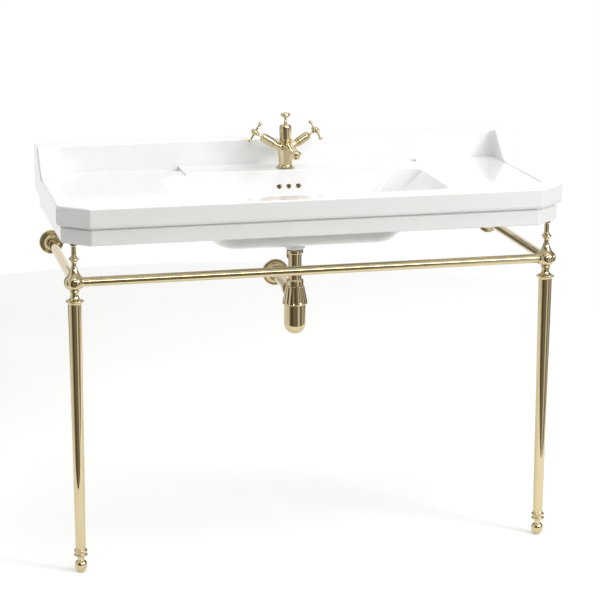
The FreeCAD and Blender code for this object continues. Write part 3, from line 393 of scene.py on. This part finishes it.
HEAD_SOCKET = [(13, 20), (17, 20), (17, 44), (13, 44)]
INLET_NUT = [
    (19.05, 0), (20, 0), (21, 1), (21, 13), (19.5, 15.5), (18, 17), (16.05, 17), (16.05, 11),
    (19.05, 11)]
OUTLET_NUT = [
    (17.05, 0), (21, 0), (22, 1), (22, 13), (19, 17), (16.05, 17), (16.05, 7.65), (17.05, 7.65)]
OUTLET_PIPE = [(14.5, 0), (16, 0), (16, 175), (14.5, 175)]
WASTE_ROSETTE = [
    (16.05, 0), (34, 0), (34, 2.5), (32, 4), (29, 4), (28, 3), (26, 5.5), ((22.5, 8), (19.5, 12.5)),
    (19, 16), (16.05, 16)]
BACKNUT = [(17.55, 0), (18.75, 0), (20.25, 1.5), (20.25, 8), (19.25, 9), (17.55, 9)]
WASTE_BODY = [
    (15.5, 689), (17.5, 689), (17.5, 742.5), (31, 742.5), (31, 744), (29.5, 745), (21, 745),
    (15.5, 743.5)]


def fluted(r, z, angle):
    """Cone radius with shallow flutes, deepest between the lands and fading out at the foot."""
    if not FLUTE_FOOT < z < FLUTE_TOP or r < FLUTED_FROM_RADIUS:
        return r
    phase = (angle / math.tau * FLUTES) % 1.0 - 0.5
    half = FLUTE_HALF_WIDTH / (math.tau * r / FLUTES)
    if abs(phase) > half:
        return r
    fade = min(1.0, (z - FLUTE_FOOT) / FLUTE_FADE)
    return r - FLUTE_DEPTH * fade * (1 - (phase / half) ** 2)


def head_outline():
    """The cone has many short steps, so that the flutes can fade in along it."""
    taper = CONE_TOP_RADIUS - CONE_FOOT_RADIUS
    cone = [(CONE_FOOT_RADIUS + taper * i / CONE_STEPS, CONE_FOOT + CONE_HEIGHT * i / CONE_STEPS)
            for i in range(1, CONE_STEPS + 1)]
    return [(23.6, 0), (27.7, 0), ((30.15, 1), (CONE_FOOT_RADIUS, CONE_FOOT)), *cone, (19, 46),
            (19, 57), (16.05, 57), (16.05, 49), (14.55, 49), (14.55, 44), (18, 44), (23.6, 10)]


def bottle_outline():
    bend = math.sqrt(0.5)
    r, inner, end = BOTTLE_RADIUS, BOTTLE_BORE, BOTTLE_END
    return [(0, end), ((r * bend, end + r - r * bend), (r, end + r)), (r, -1.2), (r - 0.7, -0.6),
            (r, 0), (23.5, 0), (23.5, 9), (21.9, 9), (21.9, -4), (inner, -8), (inner, end + r),
            ((inner * bend, end + r - inner * bend), (0, end + 1.6))]


def build_waste():
    head = lathe_data(head_outline(), (0, WASTE_Y, HEAD_FOOT), Z, FLUTED, NUT_EDGE, fluted)
    socket = lathe_data(HEAD_SOCKET, (0, WASTE_Y, OUTLET_Z), Y, SLIM, SMALL_EDGE)
    piece = joined("trap_head_fine", head, socket)
    finished(piece, brass, "sink", "polished_brass", "trap_head")
    for node, outline, base, direction, soft in (
            ("trap_bottle", bottle_outline(), (0, WASTE_Y, HEAD_FOOT), Z, CUT_EDGE),
            ("trap_inlet_nut", INLET_NUT, (0, WASTE_Y, HEAD_TOP), Z, NUT_EDGE),
            ("trap_outlet_nut", OUTLET_NUT, (0, WASTE_Y + OUTLET_NUT_START, OUTLET_Z), Y, NUT_EDGE),
            ("trap_outlet_pipe", OUTLET_PIPE, (0, WASTE_Y + OUTLET_PIPE_START, OUTLET_Z), Y,
             CUT_EDGE),
            ("waste_rosette", WASTE_ROSETTE, (0, WALL_Y, OUTLET_Z), -Y, TURNED_EDGE),
            ("waste_backnut", BACKNUT, (0, WASTE_Y, BACKNUT_Z), Z, SMALL_EDGE),
            ("waste_body", WASTE_BODY, (0, WASTE_Y, 0), Z, SMALL_EDGE)):
        turned_piece(node, outline, base, direction, WIDE, soft)


# ---- tap ----

TAP_BODY = [
    (2.25, 0), (21.3, 0), (21.3, 2.5), ((17.7, 4.4), (16.5, 9.0)), ((16.9, 25), (19, 43)),
    ((18.2, 50), (15, 56)), (13, 61), (13, 63.5), (14.9, 65), (14.9, 69), (2.25, 69)]
ARM = [
    (0, 2), (12, 2), (8.5, 32.5), (10.9, 34), (10.9, 36.5), (9.1, 37.7), (9.1, 38.5), (0, 38.5)]
NOSE = [(0, -5.5), (11.5, -5.5), (12.5, -4.0), (12.5, 1.0), ((10.5, 3.4), (7.0, 4.2)), (0, 4.4)]
DOME = [
    (2.25, 0), (14.5, 0), (14.5, 28), ((12.7, 33.8), (8, 36.2)), (3.7, 37.6),
    ((4, 41), (2.55, 46)), (2.25, 46)]
NOZZLE = [(6.5, 0), (8.2, 0), (9, 1), (9, 7), (8.2, 7.8), (8.2, 9), (6.5, 9)]
LIFT_ROD = [(0, 0), (2.2, 0), (2.2, 285.8), (0, 285.8)]
LIFT_KNOB = [
    (2.25, 0), (3, 0), (3.6, 2.2), ((8.6, 4.4), (11.5, 8)), ((11.0, 11.6), (7.9, 13.8)),
    ((4.5, 14.8), (0, 15)), (0, 5), (2.25, 5)]
VALVE = [
    (3.05, 0), (9.8, 0), (11, 1.2), (11, 25.5), (10, 26.5), (10, 28), (10.8, 28.5), (8.5, 30.5),
    (3.05, 30.5)]
SPINDLE = [(0, 0), (3, 0), (3, 47), (0, 47)]
CROSS_HUB = [(0, -9), (3.75, -9), (4.35, -6), (6.75, -4), (6.75, 4.5), (5.55, 6), (0, 6)]
INDEX_CAP = [(0, 0), (5, 0), (5, 1.0), ((3.0, 2.2), (0, 2.6))]
CROSS_REACH = 24.4
CROSS_BAR = [
    (0, 0), (2.8, 0), (2.2, CROSS_REACH - 4.4), (2.9, CROSS_REACH - 3.9),
    ((4.6, CROSS_REACH), (0, CROSS_REACH + 4.6))]

SPOUT_START, SPOUT_REACH = 5, 112
SPOUT_RINGS, SPOUT_ROUND = 28, 64
SPOUT_SQUARENESS = 0.86
# Rise, width and height of the spout against its reach.
SPOUT_RISE = [(5, 0), (45, 0.5), (80, 0.2), (112, 0)]
SPOUT_WIDTH = [(5, 25), (45, 22), (80, 24), (112, 25)]
SPOUT_HEIGHT = [(5, 20), (45, 15), (80, 13), (112, 10)]


def along_arm(side, distance):
    return Vector((side * math.cos(ARM_ANGLE) * distance, TAP_Y,
                   ARM_Z + math.sin(ARM_ANGLE) * distance))


def arm_axis(side):
    return Vector((side * math.cos(ARM_ANGLE), 0, math.sin(ARM_ANGLE)))


def smooth_between(table, t):
    """Value at t on a smooth curve through (t, value) pairs."""
    for i in range(len(table) - 1):
        t0, t1 = table[i][0], table[i + 1][0]
        if t <= t1:
            u = (t - t0) / (t1 - t0)
            p0 = table[max(i - 1, 0)][1]
            p1, p2 = table[i][1], table[i + 1][1]
            p3 = table[min(i + 2, len(table) - 1)][1]
            return 0.5 * (2 * p1 + (p2 - p0) * u + (2 * p0 - 5 * p1 + 4 * p2 - p3) * u * u
                          + (3 * p1 - p0 - 3 * p2 + p3) * u ** 3)
    return table[-1][1]


def squared(value):
    """Cosine or sine pushed outward, so that a circle becomes slightly square."""
    return math.copysign(abs(value) ** SPOUT_SQUARENESS, value)


def spout_data():
    """Flat tongue that narrows and thins towards the nose."""
    sections = []
    for i in range(SPOUT_RINGS):
        reach = SPOUT_START + (SPOUT_REACH - SPOUT_START) * i / (SPOUT_RINGS - 1)
        w, h = smooth_between(SPOUT_WIDTH, reach) / 2, smooth_between(SPOUT_HEIGHT, reach) / 2
        z = SPOUT_Z + smooth_between(SPOUT_RISE, reach)
        angles = [math.tau * k / SPOUT_ROUND for k in range(SPOUT_ROUND)]
        sections.append([Vector((w * squared(math.cos(a)), TAP_Y - reach,
                                 z + h * squared(math.sin(a)))) for a in angles])
    return loft_data(sections)


def build_tap():
    parts = [lathe_data(TAP_BODY, (0, TAP_Y, TAP_Z), Z, WIDE, TURNED_EDGE)]
    parts += [lathe_data(ARM, along_arm(s, 0), arm_axis(s), SLIM, NUT_EDGE) for s in (-1, 1)]
    parts += [spout_data(),
              lathe_data(NOSE, (0, TAP_Y - SPOUT_REACH, SPOUT_Z), Z, SLIM, CAST_EDGE)]
    finished(joined("tap_body_fine", *parts), brass, "sink", "polished_brass", "tap_body")
    for node, outline, y, z, body_name in (
            ("tap_dome", DOME, TAP_Y, DOME_Z, "sink"),
            ("spout_nozzle", NOZZLE, TAP_Y - SPOUT_REACH, NOZZLE_Z, "sink"),
            ("lift_rod", LIFT_ROD, TAP_Y, ROD_Z, "lift_set"),
            ("lift_knob", LIFT_KNOB, TAP_Y, KNOB_Z, "lift_set")):
        turned_piece(node, outline, (0, y, z), Z, SLIM, SMALL_EDGE, body_name)
    for side, label in ((-1, "hot"), (1, "cold")):
        axis, handle = arm_axis(side), f"{label}_handle"
        turned_piece(f"{label}_valve", VALVE, along_arm(side, VALVE_AT), axis, SLIM, NUT_EDGE)
        turned_piece(f"{label}_spindle", SPINDLE, along_arm(side, SPINDLE_AT), axis, STEM,
                     CUT_EDGE, handle)
        centre = along_arm(side, HUB_AT)
        upright = Vector((-axis.z * side, 0, axis.x * side))
        parts = [lathe_data(CROSS_HUB, centre, axis, HUB, NUT_EDGE)]
        parts += [lathe_data(CROSS_BAR, centre, d, BAR, SMALL_EDGE)
                  for d in (upright, -upright, Y, -Y)]
        finished(joined(f"{label}_cross_handle_fine", *parts), brass, handle, "polished_brass",
                 f"{label}_cross_handle")
        turned_piece(f"{label}_index_cap", INDEX_CAP, along_arm(side, INDEX_CAP_AT), axis, HUB,
                     CUT_EDGE, handle)


# ---- CAD nodes that stay ----

WELD_DISTANCE = 0.00001
CREASE_ANGLE = math.radians(28)


def dress_cad():
    slots = {s["node"]: s["material_slot"] for s in frame["record"]["subparts"]}
    for name, obj in nodes.items():
        obj.data.materials.clear()
        obj.data.materials.append(by_slot[slots[name]])
        obj.data.polygons.foreach_set("use_smooth", [True] * len(obj.data.polygons))
        weld = obj.modifiers.new("weld", "WELD")
        weld.merge_threshold = WELD_DISTANCE
        split = obj.modifiers.new("split", "EDGE_SPLIT")
        split.split_angle = CREASE_ANGLE
        even_normals(obj)


# ---- stage, light, camera ----

# The floor, in metres.
FLOOR_RADIUS, FLOOR_BACK, FLOOR_SIDES = 1.9, 1.0, 128
FLOOR_COLOUR, FLOOR_LIFT = (0.90, 0.90, 0.90, 1), 0.15

# Brightness of the room's walls against the bearing in degrees: 0 is before the object, +90 at
# its right and 180 behind it.
WHITE = (0.96, 0.96, 0.96)
SCREEN = (0.84, 0.86, 0.88)
GREY = (0.62, 0.62, 0.61)
DIM = (0.22, 0.20, 0.15)
DARK = (0.07, 0.062, 0.04)
WALLS = [
    (-180, WHITE), (-172, WHITE), (-160, DIM), (-130, DIM), (-124, WHITE), (-112, WHITE),
    (-106, SCREEN), (-80, SCREEN), (-62, DIM), (-48, DARK), (-20, DIM), (16, DIM), (21, SCREEN),
    (37, SCREEN), (43, DIM), (60, DIM), (70, GREY), (90, GREY), (100, DIM), (138, DARK),
    (148, WHITE), (180, WHITE)]
# Where the white ceiling begins and where it is full, against z of the direction, and the same
# for the white wall behind the object, against y.
CEILING = (0.53, 0.89)
BACK_WALL = (0.93, 0.97)
# Sockets of a colour mix node.
MIX_FACTOR, MIX_FIRST, MIX_SECOND = 0, 6, 7

LIGHTS = [
    # name, place, aimed at, width and height, power in watts
    ("key", (3.4, -2.9, 2.7), (0, 0, 0.75), (1.2, 1.6), 98),
    ("front", (1.2, -5.2, 3.2), (0.6, 0, 0.75), (4.6, 0.45), 88),
    ("top", (0.2, -0.6, 3.6), (0, 0, 0.8), (2.4, 1.4), 22)]

CAMERA_AT = (-1.134, -4.801, 1.823)
CAMERA_TILT, CAMERA_ROLL, CAMERA_TURN = 90 - 14.161, -0.153, -13.329
CAMERA_LENS, CAMERA_SENSOR = 126.0, 36.0


def maths(tree, operation, first, second):
    """A maths node on an output and a second output or a plain number."""
    node = tree.nodes.new("ShaderNodeMath")
    node.operation = operation
    tree.links.new(first, node.inputs[0])
    if isinstance(second, (int, float)):
        node.inputs[1].default_value = second
    else:
        tree.links.new(second, node.inputs[1])
    return node.outputs[0]


def studio_band(tree, value, low, high):
    """Brightness that rises smoothly from none at low to full at high."""
    node = tree.nodes.new("ShaderNodeMapRange")
    node.interpolation_type = "SMOOTHSTEP"
    node.inputs["From Min"].default_value = low
    node.inputs["From Max"].default_value = high
    tree.links.new(value, node.inputs["Value"])
    return node.outputs["Result"]


def colour_mix(tree, factor, first, second):
    """From the first colour, an output, to the second, plain numbers."""
    node = tree.nodes.new("ShaderNodeMix")
    node.data_type = "RGBA"
    tree.links.new(factor, node.inputs[MIX_FACTOR])
    tree.links.new(first, node.inputs[MIX_FIRST])
    node.inputs[MIX_SECOND].default_value = (*second, 1)
    return node.outputs[2]


def build_stage():
    """Round pale floor, white to the camera and in the metal where it is lit, so that only the
    contact shadow shows."""
    turns = [math.tau * i / FLOOR_SIDES for i in range(FLOOR_SIDES)]
    rim = [(FLOOR_RADIUS * math.cos(a), FLOOR_BACK + FLOOR_RADIUS * math.sin(a), 0) for a in turns]
    floor = mesh_object("floor", rim, [tuple(range(FLOOR_SIDES))])
    mat, tree, shader = new_material("pale_floor")
    shader.inputs["Base Color"].default_value = FLOOR_COLOUR
    shader.inputs["Roughness"].default_value = 0.9
    shader.inputs["Specular IOR Level"].default_value = 0.0
    path = tree.nodes.new("ShaderNodeLightPath").outputs
    glow = tree.nodes.new("ShaderNodeEmission")
    add = tree.nodes.new("ShaderNodeAddShader")
    seen = maths(tree, "MAXIMUM", path["Is Camera Ray"], path["Is Glossy Ray"])
    seen = maths(tree, "MAXIMUM", seen, path["Is Transmission Ray"])
    tree.links.new(maths(tree, "MULTIPLY", seen, FLOOR_LIFT), glow.inputs["Strength"])
    tree.links.new(shader.outputs[0], add.inputs[0])
    tree.links.new(glow.outputs[0], add.inputs[1])
    tree.links.new(add.outputs[0], tree.nodes["Material Output"].inputs["Surface"])
    floor.data.materials.append(mat)


def build_world():
    """A photographer's room: white backdrop and ceiling, tall pale screens round a dim warm room.
    The camera sees plain white, and so does metal that faces the wall behind the object."""
    world = bpy.data.worlds.new("studio")
    bpy.context.scene.world = world
    world.use_nodes = True
    tree = world.node_tree
    coords = tree.nodes.new("ShaderNodeTexCoord")
    split = tree.nodes.new("ShaderNodeSeparateXYZ")
    tree.links.new(coords.outputs["Generated"], split.inputs[0])
    x, y, z = split.outputs
    bearing = maths(tree, "ARCTAN2", x, maths(tree, "MULTIPLY", y, -1.0))
    turn = maths(tree, "ADD", maths(tree, "DIVIDE", bearing, math.tau), 0.5)
    walls = ramp(tree, turn, [(degrees / 360 + 0.5, colour) for degrees, colour in WALLS])
    room = colour_mix(tree, studio_band(tree, z, *CEILING), walls, WHITE)
    path = tree.nodes.new("ShaderNodeLightPath").outputs
    back_wall = studio_band(tree, y, *BACK_WALL)
    in_metal = maths(tree, "MULTIPLY", path["Is Glossy Ray"], back_wall)
    direct = maths(tree, "MAXIMUM", path["Is Camera Ray"], path["Is Transmission Ray"])
    seen = colour_mix(tree, maths(tree, "MAXIMUM", direct, in_metal), room, (1, 1, 1))
    back = tree.nodes["Background"]
    tree.links.new(seen, back.inputs["Color"])
    back.inputs["Strength"].default_value = 1.0


def area_light(name, location, target, size, power):
    data = bpy.data.lights.new(name, "AREA")
    data.shape = "RECTANGLE"
    data.size, data.size_y = size
    data.energy = power
    obj = bpy.data.objects.new(name, data)
    obj.location = location
    aim = Vector(target) - Vector(location)
    obj.rotation_euler = aim.to_track_quat("-Z", "Y").to_euler()
    obj.visible_camera = False
    bpy.context.scene.collection.objects.link(obj)


def build_camera():
    data = bpy.data.cameras.new("camera")
    data.sensor_width = CAMERA_SENSOR
    data.lens = CAMERA_LENS
    data.clip_start, data.clip_end = 0.1, 200.0
    cam = bpy.data.objects.new("camera", data)
    cam.location = CAMERA_AT
    cam.rotation_euler = [math.radians(a) for a in (CAMERA_TILT, CAMERA_ROLL, CAMERA_TURN)]
    bpy.context.scene.collection.objects.link(cam)
    bpy.context.scene.camera = cam


dress_cad()
build_stand()
build_waste()
build_tap()
build_stage()
build_world()
for light in LIGHTS:
    area_light(*light)
build_camera()
bpy.context.scene.view_settings.view_transform = "Standard"
